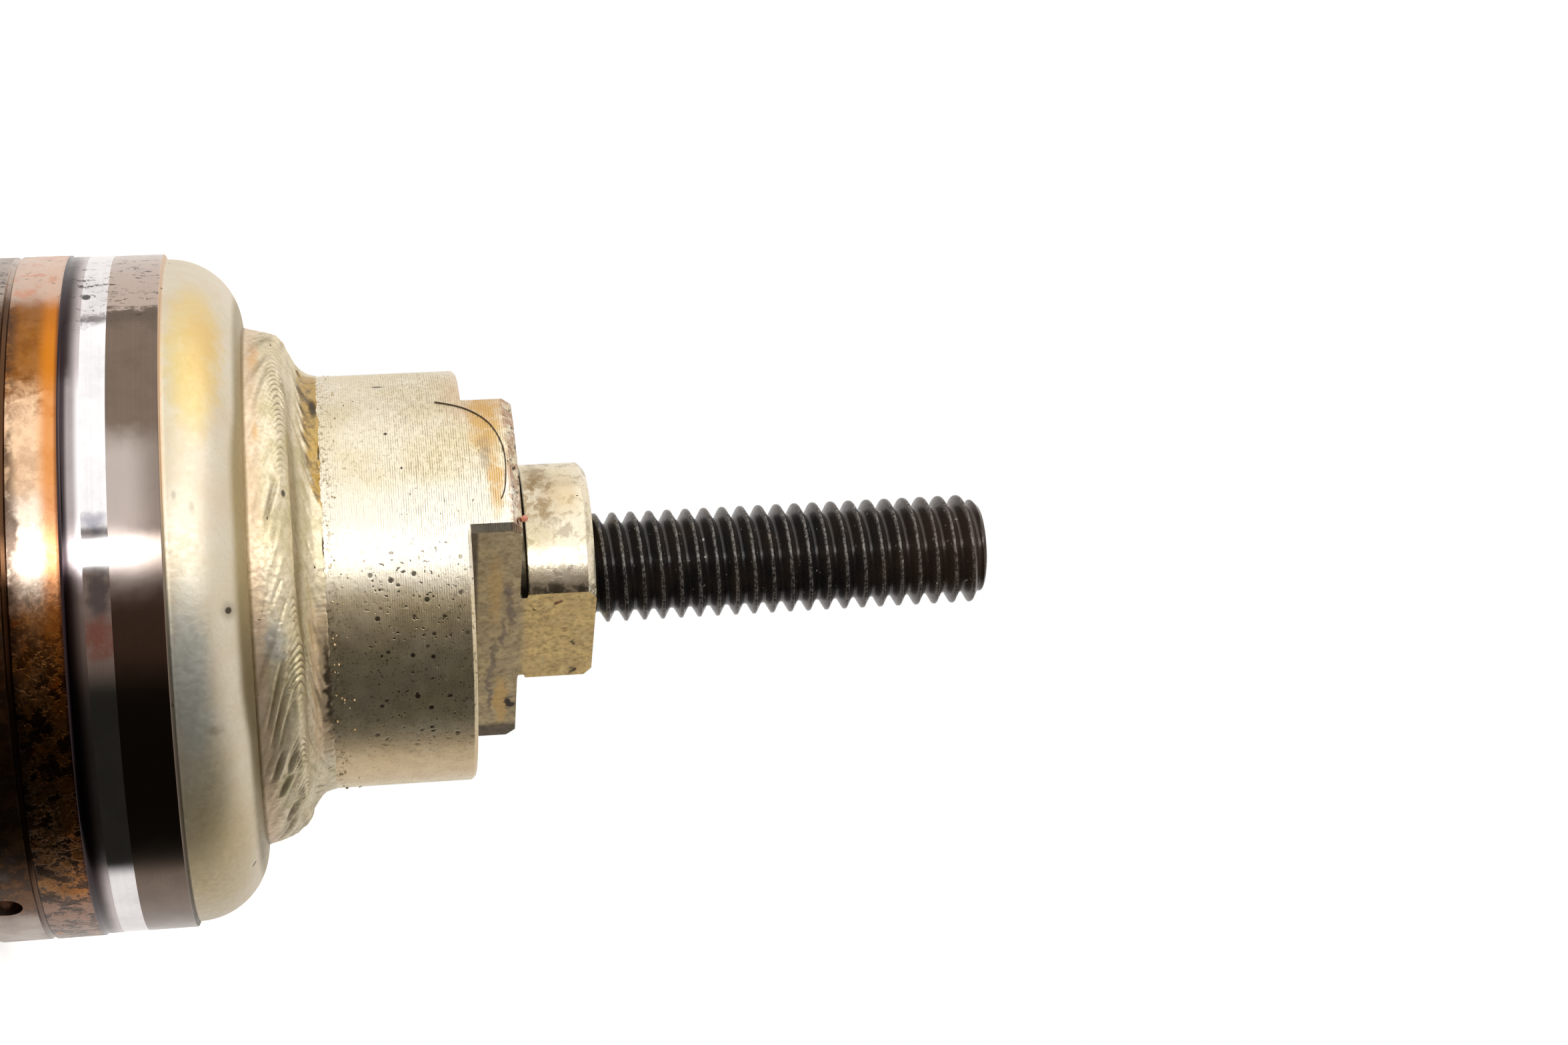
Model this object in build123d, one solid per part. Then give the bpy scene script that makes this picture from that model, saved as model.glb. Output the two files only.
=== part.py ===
from build123d import *

# A turned steel plunger end: a short ground barrel with a rounded, plated shoulder, a turned drive
# boss welded to its front face, and a black threaded stud screwed into the boss.
# Millimetres. +Z runs along the turning axis, from the plain end of the barrel to the tip of the
# stud, and the origin is the centre of the plain end, on which the part stands.
# The two milled flats of the drive boss face +X and -X.

import os
from math import radians, sqrt, tan

# Barrel
barrel_diameter = 35.4       # ground journal
barrel_length = 14.2         # plain end to front face
collar_diameter = 35.6       # the unground end of the barrel, rusted between its two grooves
plain_end_chamfer = 0.5
shoulder_radius = 3.65       # rounded corner of the plated shoulder
shoulder_step = 0.28         # how far the plated shoulder lies under the ground journal
shoulder_bevel = 0.3         # length of the bevel from the journal down to the shoulder

# Fine grooves each side of the rusted band, and the bevel that leads up to the journal
rust_band_start = 3.3
rust_band_length = 2.4
groove_width = 0.3
groove_depth = 0.12
journal_lead = 0.35          # length of the bevel from the collar down to the journal

# Shallow radial dimple near the plain end
dimple_diameter = 1.7
dimple_depth = 0.5
dimple_height = 1.5
dimple_angle = 3.0           # degrees from +X

# Drive boss
boss_diameter = 21.9
boss_length = 11.0           # front face of the barrel to the boss's shoulder
boss_edge_chamfer = 0.2
tongue_length = 2.6          # the part of the boss that the flats cut, in front of its shoulder
tongue_chamfer = 0.5
neck_diameter = 11.2
neck_length = 0.4
spigot_diameter = 11.6
spigot_length = 4.0          # tongue to end of spigot, neck included
spigot_chamfer = 0.42
across_flats = 8.4
flat_edge_chamfer = 0.3      # along the two long edges of each flat of the tongue

# Weld bead between the barrel's front face and the boss
weld_leg_radial = 2.7
weld_leg_axial = 3.7
weld_crown = 0.7             # how far the bead bulges beyond a straight fillet
weld_penetration = 0.5       # how deep the bead is fused into the boss

# Threaded stud, a coarse metric thread
thread_diameter = 5.9        # over the crests
thread_pitch = 1.0
thread_crest_width = 0.125
thread_depth = 0.56
thread_flank_angle = 30.0    # degrees from a plane square to the axis
stud_projection = 21.6       # end of spigot to tip of stud
stud_engagement = 9.0        # length held in the boss
shank_diameter = 5.35        # plain length in the boss, at the pitch diameter of the thread
stud_tip_chamfer = 0.6
stud_clearance = 0.05        # radial gap between the stud and its hole
ridge_sink = 0.06            # how deep the thread's ridge is rooted in the core
thread_runout = 1.1          # how far the ridge is swept past each end before it is cut to length

cutter_margin = 1.0          # how far a cutter reaches past the stock

# Places along the axis that follow from the lengths
weld_toe = barrel_length + weld_leg_axial
journal_end = barrel_length - shoulder_radius
boss_shoulder = barrel_length + boss_length
tongue_end = boss_shoulder + tongue_length
neck_end = tongue_end + neck_length
spigot_end = tongue_end + spigot_length
hole_bottom = spigot_end - stud_engagement

barrel_radius = barrel_diameter / 2
collar_radius = collar_diameter / 2
boss_radius = boss_diameter / 2
crest_radius = thread_diameter / 2
root_radius = crest_radius - thread_depth

BASE = (Align.CENTER, Align.CENTER, Align.MIN)


def turned(outline):
    """A solid turned about Z from a closed outline of edges in the XZ plane."""
    return revolve(Plane.XZ * make_face(outline), Axis.Z)


def disc(radius, start, length):
    """A cylinder on the axis that starts at the height given."""
    return Pos(0, 0, start) * Cylinder(radius, length, align=BASE)


def ring_groove(radius, depth, start, length):
    """The stock that a narrow cutter takes out of a cylinder of the radius given."""
    return disc(radius + cutter_margin, start, length) - disc(radius - depth, start, length)


def make_barrel():
    shoulder_start_radius = barrel_radius - shoulder_step
    shoulder_centre = shoulder_start_radius - shoulder_radius
    rust_band_end = rust_band_start + rust_band_length
    lead_start = rust_band_end + groove_width
    profile = Polyline(
        (0, barrel_length),
        (0, 0),
        (collar_radius - plain_end_chamfer, 0),
        (collar_radius, plain_end_chamfer),
        (collar_radius, lead_start),
        (barrel_radius, lead_start + journal_lead),
        (barrel_radius, journal_end - shoulder_bevel),
        (shoulder_start_radius, journal_end),
    )
    corner = CenterArc((shoulder_centre, journal_end), shoulder_radius, 0, 90)
    front = Line((shoulder_centre, barrel_length), (0, barrel_length))
    barrel = turned(profile + corner + front)
    for start in (rust_band_start - groove_width, rust_band_end):
        barrel -= ring_groove(collar_radius, groove_depth, start, groove_width)
    drill = Cylinder(dimple_diameter / 2, dimple_depth + cutter_margin, align=BASE)
    dimple_place = Rot(0, 0, dimple_angle) * Pos(collar_radius - dimple_depth, 0, dimple_height)
    return barrel - dimple_place * Rot(0, 90, 0) * drill


def chamfered_disc(radius, start, end, chamfer_length):
    """A turned length with a 45 degree chamfer at its front end."""
    chamfer_start = end - chamfer_length
    nose = Cone(radius, radius - chamfer_length, chamfer_length, align=BASE)
    return disc(radius, start, chamfer_start - start) + Pos(0, 0, chamfer_start) * nose


def between_flats(start, end):
    """The stock that stands between the two flats."""
    return Pos(0, 0, start) * Box(across_flats, boss_diameter, end - start, align=BASE)


def make_drive_boss():
    boss_root = disc(boss_radius - weld_penetration, barrel_length, weld_leg_axial)
    boss = boss_root + chamfered_disc(boss_radius, weld_toe, boss_shoulder, boss_edge_chamfer)
    tongue_start = boss_shoulder - boss_edge_chamfer
    tongue = chamfered_disc(boss_radius, tongue_start, tongue_end, tongue_chamfer)
    tongue &= between_flats(tongue_start, tongue_end)
    tongue = chamfer(tongue.edges().filter_by(Axis.Z), flat_edge_chamfer)
    neck = disc(neck_diameter / 2, tongue_end - tongue_chamfer, neck_length + 2 * tongue_chamfer)
    spigot = chamfered_disc(spigot_diameter / 2, neck_end, spigot_end, spigot_chamfer)
    front = (neck + spigot) & between_flats(tongue_end - tongue_chamfer, spigot_end)
    hole = disc(shank_diameter / 2 + stud_clearance, hole_bottom, stud_engagement + cutter_margin)
    return boss + tongue + front - hole


def make_weld_bead():
    root_of_bead = boss_radius - weld_penetration
    toe_on_face = (boss_radius + weld_leg_radial, barrel_length)
    toe_on_boss = (boss_radius, weld_toe)
    chord = sqrt(weld_leg_radial**2 + weld_leg_axial**2)
    crown = (
        boss_radius + weld_leg_radial / 2 + weld_crown * weld_leg_axial / chord,
        barrel_length + weld_leg_axial / 2 + weld_crown * weld_leg_radial / chord,
    )
    legs = Polyline(
        toe_on_boss,
        (root_of_bead, weld_toe),
        (root_of_bead, barrel_length),
        toe_on_face,
    )
    return turned(legs + ThreePointArc(toe_on_face, crown, toe_on_boss))


def thread_half_width(radius):
    """Half of the ridge's width at a radius on its flanks."""
    return thread_crest_width / 2 + (crest_radius - radius) * tan(radians(thread_flank_angle))


def make_thread(length):
    """A right-hand threaded rod that stands on Z = 0, square at its foot and chamfered at its tip."""
    sweep_start = -thread_runout
    sweep_length = length + 2 * thread_runout
    section_plane = Plane(
        origin=(root_radius, 0, sweep_start),
        x_dir=(1, 0, 0),
        z_dir=(0, -1, 0),
    )
    base_half = thread_half_width(root_radius - ridge_sink)
    crest_half = thread_crest_width / 2
    section = section_plane * Polygon(
        (-ridge_sink, -base_half),
        (thread_depth, -crest_half),
        (thread_depth, crest_half),
        (-ridge_sink, base_half),
        align=None,
    )
    helix = Helix(thread_pitch, sweep_length, root_radius, center=(0, 0, sweep_start))
    ridge = sweep(section, path=helix, is_frenet=True)
    core = disc(root_radius, sweep_start, sweep_length)
    envelope = chamfered_disc(crest_radius + ridge_sink, 0, length, stud_tip_chamfer + ridge_sink)
    return (core + ridge) & envelope


def make_stud():
    shank = disc(shank_diameter / 2, hole_bottom, stud_engagement)
    return shank + Pos(0, 0, spigot_end) * make_thread(stud_projection)


NODES = {
    "barrel": make_barrel,
    "drive_boss": make_drive_boss,
    "weld_bead": make_weld_bead,
    "threaded_stud": make_stud,
}

os.makedirs("parts", exist_ok=True)
for node_name, make in NODES.items():
    export_step(make(), f"parts/{node_name}.step")
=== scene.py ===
from functools import reduce
from math import acos, atan2, cos, exp, floor, hypot, pi, radians, sin, sqrt

import bmesh
import bpy
from mathutils import Matrix, Vector, noise


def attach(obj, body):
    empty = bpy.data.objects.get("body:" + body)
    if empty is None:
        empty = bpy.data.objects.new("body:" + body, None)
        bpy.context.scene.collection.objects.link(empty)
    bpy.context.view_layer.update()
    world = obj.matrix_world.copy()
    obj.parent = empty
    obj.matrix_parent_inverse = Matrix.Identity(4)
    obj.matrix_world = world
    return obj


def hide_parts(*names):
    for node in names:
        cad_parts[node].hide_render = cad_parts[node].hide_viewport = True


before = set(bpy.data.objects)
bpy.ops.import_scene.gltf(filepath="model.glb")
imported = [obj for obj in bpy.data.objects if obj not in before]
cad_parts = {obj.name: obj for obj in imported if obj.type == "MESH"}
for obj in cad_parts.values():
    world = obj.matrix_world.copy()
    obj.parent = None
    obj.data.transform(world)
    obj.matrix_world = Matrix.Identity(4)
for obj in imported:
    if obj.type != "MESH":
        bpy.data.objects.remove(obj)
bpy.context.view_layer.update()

# Lengths below are in millimetres, as on the part, and MM turns them into Blender's metres.
# Angles round the part are in degrees from the direction that faces the camera, and grow towards
# the top of the picture. Z runs along the turning axis.
MM = 0.001
FACING = -55.0
ALONG = Vector((0, 0, 1))

# The part's own dimensions
BARREL_R = 17.7
COLLAR_R = 17.8
BARREL_LENGTH = 14.2
DIMPLE_R = 0.85
DIMPLE_DEPTH = 0.5
DIMPLE_HEIGHT = 1.5
DIMPLE_ANGLE = 3.0            # degrees from +X
BOSS_R = 10.95
BOSS_START = 17.5             # where the boss comes out of the bead
BOSS_SHOULDER = 25.2
BOSS_EDGE = 0.2
TONGUE_END = 27.8
FLAT_X = 4.2
FLAT_EDGE = 0.3
NECK_R = 5.6
SPIGOT_R = 5.8
SPIGOT_END = 31.8
HOLE_R = 2.725
WELD_ROOT_R = 10.45
WELD_FOOT = 14.14
THREAD_START = 30.7           # a height at which the thread's crest passes over +X
STUD_TIP = 53.4
PITCH = 1.0
CREST_R = 2.95
TIP_CHAMFER = 0.6


def polar(angle):
    """World angle in radians of an angle round the part measured from the camera's side."""
    return radians(FACING - angle)


def heading(angle):
    """Unit vector away from the axis at an angle round the part."""
    return Vector((cos(polar(angle)), sin(polar(angle)), 0))


def at(angle, radius, height):
    """World point, in metres, at an angle round the part, a radius and a height."""
    a = polar(angle)
    return Vector((radius * cos(a), radius * sin(a), height)) * MM


def add_object(name, data):
    thing = bpy.data.objects.new(name, data)
    bpy.context.scene.collection.objects.link(thing)
    return thing


def mesh_of(name, bm):
    mesh = bpy.data.meshes.new(name)
    bm.to_mesh(mesh)
    bm.free()
    return mesh


def evaluated_mesh(thing):
    bpy.context.view_layer.update()
    graph = bpy.context.evaluated_depsgraph_get()
    return bpy.data.meshes.new_from_object(thing.evaluated_get(graph))


# Camera
AXIS_IN_VIEW = Vector((0.98681, -0.05077, 0.15369))   # right, down, away
AXIS_POINT_IN_VIEW = Vector((0.0, 1.9283, 158.494))   # the axis at AXIS_POINT_HEIGHT
AXIS_POINT_HEIGHT = 42.6
FOCAL_LENGTH = 66.65


def add_camera():
    facing = heading(0)
    up = facing.cross(ALONG)
    away = Vector((0, 0, 1))
    facing_in_view = (AXIS_IN_VIEW * away.dot(AXIS_IN_VIEW) - away).normalized()
    up_in_view = facing_in_view.cross(AXIS_IN_VIEW)
    right, down, forward = (
        facing * facing_in_view[i] + up * up_in_view[i] + ALONG * AXIS_IN_VIEW[i] for i in range(3)
    )
    point = AXIS_POINT_IN_VIEW
    offset = right * point.x + down * point.y + forward * point.z
    matrix = Matrix((right, -down, -forward)).transposed().to_4x4()
    matrix.translation = (Vector((0, 0, AXIS_POINT_HEIGHT)) - offset) * MM
    data = bpy.data.cameras.new("camera")
    data.lens = FOCAL_LENGTH
    data.sensor_width = 36.0
    data.sensor_fit = "HORIZONTAL"
    data.clip_start = 0.005
    data.clip_end = 20.0
    camera = add_object("camera", data)
    camera.matrix_world = matrix
    bpy.context.scene.camera = camera


def add_area(name, angle, distance, height, width, length, power, colour=(1, 1, 1)):
    """A lamp that faces the part: width runs round the part, and length along its axis. In metres."""
    data = bpy.data.lights.new(name, "AREA")
    data.shape = "RECTANGLE"
    data.size = width
    data.size_y = length
    data.energy = power
    data.color = colour
    lamp = add_object(name, data)
    outward = heading(angle)
    turn = Matrix((ALONG.cross(outward), ALONG, outward)).transposed().to_4x4()
    lamp.matrix_world = Matrix.Translation(outward * distance + Vector((0, 0, height))) @ turn
    lamp.visible_camera = False


def rgb(code):
    """A linear colour from a screen colour written as 0xRRGGBB."""
    def linear(c):
        c /= 255
        return c / 12.92 if c <= 0.04045 else ((c + 0.055) / 1.055) ** 2.4
    return (*(linear(code >> shift & 255) for shift in (16, 8, 0)), 1.0)


class Graph:
    """Short names for the shader nodes used here. A value may be a number, a vector or a socket."""

    def __init__(self, tree):
        self.tree = tree
        tree.nodes.clear()

    def add(self, kind, settings=None, *values, **inputs):
        """A node: values fill its inputs in order, and the named inputs follow."""
        node = self.tree.nodes.new(kind)
        for key, value in (settings or {}).items():
            setattr(node, key, value)
        for key, value in enumerate(values):
            self.put(node, key, value)
        for key, value in inputs.items():
            self.put(node, key.replace("_", " "), value)
        return node

    def put(self, node, key, value):
        socket = node.inputs[key]
        if isinstance(value, bpy.types.NodeSocket):
            self.tree.links.new(value, socket)
        else:
            socket.default_value = value

    def math(self, operation, a, b=0.0):
        return self.add("ShaderNodeMath", {"operation": operation}, a, b).outputs[0]

    def vector(self, operation, *values, **inputs):
        node = self.add("ShaderNodeVectorMath", {"operation": operation}, *values, **inputs)
        return node.outputs["Value" if operation in ("LENGTH", "DOT_PRODUCT") else "Vector"]

    def remap(self, value, low, high, out_low=0.0, out_high=1.0):
        smooth = {"interpolation_type": "SMOOTHSTEP"}
        return self.add("ShaderNodeMapRange", smooth, value, low, high, out_low, out_high).outputs[0]

    def mix(self, share, a, b):
        """A colour may be a socket, a screen colour such as 0xFFEE99, or a linear one of four numbers."""
        node = self.add("ShaderNodeMix", {"data_type": "RGBA"}, share)
        for key, colour in ((6, a), (7, b)):
            self.put(node, key, rgb(colour) if isinstance(colour, int) else colour)
        return node.outputs[2]

    def noise(self, vector, scale, detail=3.0, roughness=0.55, distortion=0.0):
        return self.add(
            "ShaderNodeTexNoise", Vector=vector, Scale=scale, Detail=detail, Roughness=roughness,
            Distortion=distortion,
        ).outputs["Fac"]

    def stretched(self, vector, x, y, z):
        return self.vector("MULTIPLY", vector, (x, y, z))

    def both(self, *masks):
        """The product of masks: 1 only where all of them are."""
        return reduce(lambda a, b: self.math("MULTIPLY", a, b), masks)

    def any_of(self, *masks):
        return reduce(lambda a, b: self.math("MAXIMUM", a, b), masks)


def add_world():
    """Pale surroundings behind, over and beyond the part, and a dim room on the camera's side."""
    world = bpy.data.worlds.new("studio")
    world.use_nodes = True
    bpy.context.scene.world = world
    g = Graph(world.node_tree)
    direction = g.add("ShaderNodeTexCoord").outputs["Generated"]
    facing = heading(0)
    behind = g.vector("DOT_PRODUCT", direction, -facing)
    over = g.vector("DOT_PRODUCT", direction, facing.cross(ALONG))
    beyond = g.vector("DOT_PRODUCT", direction, ALONG)
    white = g.both(g.remap(behind, 0.17, 0.32), g.remap(over, -0.5, 0.2, 0.88, 1.0))
    corner = g.both(g.remap(beyond, 0.15, 0.5), g.remap(over, -0.25, 0.35))
    ahead = g.both(g.remap(beyond, 0.70, 0.95), 0.95)
    share = g.any_of(white, g.both(corner, 0.8), ahead)
    before = g.vector("DOT_PRODUCT", direction, facing)
    room = g.mix(g.remap(before, 0.84, 0.97), 0x22201C, 0x74645A)
    colour = g.mix(share, room, 0xFFFAF6)
    surroundings = g.add("ShaderNodeBackground", Color=colour, Strength=1.0).outputs[0]
    backdrop = g.add("ShaderNodeBackground", Color=(1, 1, 1, 1), Strength=1.0).outputs[0]
    seen = g.add("ShaderNodeLightPath").outputs["Is Camera Ray"]
    pick = g.add("ShaderNodeMixShader", None, seen, surroundings, backdrop)
    g.add("ShaderNodeOutputWorld", Surface=pick.outputs[0])


FLOOR_RADIUS = 3.0            # metres, as the drop is
FLOOR_DROP = 0.00002


def add_floor():
    bm = bmesh.new()
    bmesh.ops.create_circle(bm, cap_ends=True, segments=96, radius=FLOOR_RADIUS)
    mesh = mesh_of("floor", bm)
    floor_object = add_object("floor", mesh)
    floor_object.location = (0, 0, -FLOOR_DROP)
    floor_object.visible_glossy = False
    material = bpy.data.materials.new("pale_floor")
    material.use_nodes = True
    g = Graph(material.node_tree)
    matt = g.add("ShaderNodeBsdfDiffuse", Color=(0.86, 0.85, 0.84, 1)).outputs[0]
    glow = g.add("ShaderNodeEmission", Color=(1.0, 0.985, 0.975, 1), Strength=0.62).outputs[0]
    glowing = g.add("ShaderNodeAddShader", None, matt, glow).outputs[0]
    seen = g.add("ShaderNodeLightPath").outputs["Is Camera Ray"]
    pick = g.add("ShaderNodeMixShader", None, seen, matt, glowing)
    g.add("ShaderNodeOutputMaterial", Surface=pick.outputs[0])
    mesh.materials.append(material)


class Finish(Graph):
    """A material with a principled shader, the part's own coordinates in millimetres and a base colour."""

    def __init__(self, name, **constants):
        self.material = bpy.data.materials.new(name)
        self.material.use_nodes = True
        super().__init__(self.material.node_tree)
        self.shader = self.add("ShaderNodeBsdfPrincipled", **constants)
        self.add("ShaderNodeOutputMaterial", Surface=self.shader.outputs[0])
        place = self.add("ShaderNodeTexCoord").outputs["Object"]
        self.p = self.vector("SCALE", place, Scale=1 / MM)
        _, self.y, self.z = self.add("ShaderNodeSeparateXYZ", Vector=self.p).outputs
        wander = self.add("ShaderNodeTexNoise", Vector=self.p, Scale=1.7, Detail=4.0)
        shift = self.vector("SUBTRACT", wander.outputs["Color"], (0.5, 0.5, 0.5))
        self.ragged = self.vector("ADD", self.p, shift)

    def set(self, **values):
        for key, value in values.items():
            self.put(self.shader, key.replace("_", " "), value)

    def bump(self, height, distance):
        return self.add("ShaderNodeBump", Height=height, Strength=1.0, Distance=distance * MM).outputs[0]

    def lay(self, colour, *masks):
        """Lays a colour over the base, as far as the product of the masks says."""
        self.base = self.mix(self.both(*masks), self.base, colour)

    def finished(self, roughness, height, distance):
        """The material, with bumps of the depth given in millimetres."""
        self.set(Base_Color=self.base, Roughness=roughness, Normal=self.bump(height, distance))
        return self.material

    def attribute(self, name):
        return self.add("ShaderNodeAttribute", {"attribute_name": name}).outputs["Fac"]

    def radius(self):
        """How far the surface here lies from the axis."""
        return self.vector("LENGTH", self.stretched(self.p, 1, 1, 0))

    def nearness(self, angle):
        """Cosine of the angle between the surface here and a place round the part."""
        direction = self.vector("NORMALIZE", self.stretched(self.ragged, 1, 1, 0))
        return self.vector("DOT_PRODUCT", direction, heading(angle))

    def near(self, angle, half):
        """1 within an angle either side of one round the part, falling to 0 outside it."""
        return self.remap(self.nearness(angle), cos(radians(half * 1.3)), cos(radians(half * 0.7)))

    def oval(self, vector, centre, turn, sizes, soft):
        """1 inside an ellipsoid of the half widths given, 0 outside it."""
        node = self.add(
            "ShaderNodeMapping", {"vector_type": "TEXTURE"},
            Vector=vector, Location=centre, Rotation=(0, 0, turn), Scale=sizes,
        )
        return self.remap(self.vector("LENGTH", node.outputs[0]), 1 - soft, 1 + soft, 1.0, 0.0)

    def mark(self, angle, radius, height, around, along, soft=0.3, ragged=True):
        """An oval spot on the surface. around and along are half widths."""
        a = polar(angle)
        centre = (radius * cos(a), radius * sin(a), height)
        return self.oval(self.ragged if ragged else self.p, centre, a, (4.0, around, along), soft)

    def flat_mark(self, y, z, half_y, half_z, soft=0.3):
        """The same on the milled flat that faces +X, at a place given by y and z."""
        return self.oval(self.ragged, (FLAT_X, y, z), 0, (3.0, half_y, half_z), soft)

    def turned_lines(self, spacing):
        """Fine rings round the axis whose depth wanders, as a tool or a wheel leaves them."""
        return self.noise(self.stretched(self.p, 0.03, 0.03, 1 / spacing), 1.0, 2.0, 0.6)

    def pits(self, scale, share, size=0.35, stretch=(1.0, 1.0, 1.0), ragged=True):
        """Scattered small pits: share of the cells that hold one, and its size in cell widths."""
        place = self.stretched(self.ragged if ragged else self.p, *stretch)
        cells = self.add("ShaderNodeTexVoronoi", Vector=place, Scale=scale)
        pick = self.add("ShaderNodeSeparateColor", Color=cells.outputs["Color"]).outputs[0]
        chosen = self.remap(pick, share, share + 0.02, 1.0, 0.0)
        return self.both(chosen, self.remap(cells.outputs["Distance"], size * 0.5, size, 1.0, 0.0))


def lay_plating(m):
    """Yellowish zinc over steel: slow changes of tone and a fine grain."""
    slow = m.noise(m.p, 0.35, 4.0, 0.6)
    fine = m.noise(m.p, 6.0, 3.0, 0.6)
    m.base = m.mix(m.remap(slow, 0.35, 0.7), 0xF1E8D3, 0xE7DCBC)
    m.lay(0xBEB08C, m.remap(fine, 0.45, 0.75, 0.0, 0.25))


def make_boss_plating():
    m = Finish("plated_turned_steel", Metallic=0.92)
    lay_plating(m)
    radius = m.radius()
    rim = m.remap(radius, 10.25, 10.4)
    side = m.remap(radius, 10.6, 10.8)
    wander = m.noise(m.p, 0.5, 3)
    wave = m.math("SINE", m.math("ADD", m.both(m.z, 2 * pi / 0.118), m.both(wander, 1.6)))
    lines = m.remap(wave, -1, 1)
    broken = m.remap(m.noise(m.stretched(m.p, 1, 1, 2.2), 2.6, 4, 0.7), 0.36, 0.62)
    below = m.near(-50, 58)
    strength = m.both(broken, m.remap(m.z, 19.5, 23, 0.45, 1), m.remap(below, 0, 1, 1, 0.45))
    m.lay(0x968254, lines, strength, 0.65)
    # Painted shade: the lower side is laid yellower and darker.
    m.lay(0xE2CE9C, below, 0.45)
    speckle = m.remap(m.noise(m.p, 7, 3, 0.7), 0.58, 0.66)
    m.lay(0x947A52, speckle, m.remap(below, 0, 1, 0.5, 0.8))
    # Painted highlight: near white round the band where the narrow lamp is reflected.
    m.lay(0xFCF8EE, m.near(12, 14), side, 0.45)
    # Painted shade: a darker tan along the lower edge.
    m.lay(0xCCAE82, m.near(-60, 13), side, 0.5)
    m.lay(0xD6B48E, m.mark(60, BOSS_R, 26, 3, 1.7, 0.5), 0.5)
    stain = m.any_of(m.mark(46, BOSS_R, 26.3, 2.3, 0.75, 0.5), m.mark(27, BOSS_R, 26.6, 1.8, 0.35, 0.7))
    stain = m.both(stain, m.remap(m.noise(m.ragged, 1.4, 4, 0.6), 0.3, 0.5, 0.4, 1))
    m.lay(0xCEA050, stain, m.remap(lines, 0, 1, 0.6, 0.9))
    smear = m.both(
        m.mark(35, BOSS_R, 26.2, 1, 0.3, 0.6), m.remap(m.noise(m.ragged, 1.1, 4, 0.6), 0.35, 0.5),
    )
    m.lay(0x8E8276, smear, 0.55)
    edge = m.both(m.remap(m.z, 27.1, 27.3), m.remap(m.noise(m.ragged, 1.6, 4, 0.7), 0.42, 0.56), rim)
    m.lay(0x96603E, edge, 0.6)
    few = m.any_of(m.pits(1.5, 0.05, 0.13), m.pits(3.6, 0.05, 0.2))
    middle = m.both(m.remap(m.z, 19, 20.5), m.remap(m.z, 25, 24, 0.5, 1))
    round_pits = m.any_of(m.pits(1.6, 0.6, 0.29, ragged=False), m.pits(2.6, 0.45, 0.27))
    many = m.both(m.any_of(round_pits, m.pits(3.6, 0.34, 0.28)), middle, m.both(m.near(-20, 29), side))
    holes = m.any_of(
        m.mark(42.9, BOSS_R, 21.24, 0.09, 0.09, 0.3, False),
        m.mark(31.1, BOSS_R, 21.93, 0.08, 0.06, 0.3, False),
        m.mark(66.4, BOSS_R, 20.99, 0.09, 0.3, 0.4, False),
    )
    pits = m.any_of(few, many, holes)
    toe = m.both(m.remap(m.z, 18.9, 18), m.remap(m.noise(m.p, 4.5, 4, 0.7), 0.52, 0.6))
    m.lay(0x806A4A, toe, 0.6)
    chips = m.any_of(
        m.both(m.remap(m.z, 27.2, 27.35), m.remap(m.noise(m.p, 2.8, 4, 0.7), 0.58, 0.64), rim),
        m.mark(30, 10.7, 27.62, 0.22, 0.12, 0.3), m.mark(14.5, 10.7, 27.55, 0.18, 0.1, 0.3),
    )
    dark = m.any_of(pits, chips)
    m.lay(0x2C241A, dark, 0.9)
    rough = m.remap(m.noise(m.p, 1.2, 4, 0.6), 0.3, 0.7, 0.33, 0.42)
    relief = m.math("ADD", m.both(lines, strength), m.both(m.noise(m.p, 3, 4, 0.65), 0.9))
    height = m.math("SUBTRACT", relief, dark)
    return m.finished(rough, height, 0.01)


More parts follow.
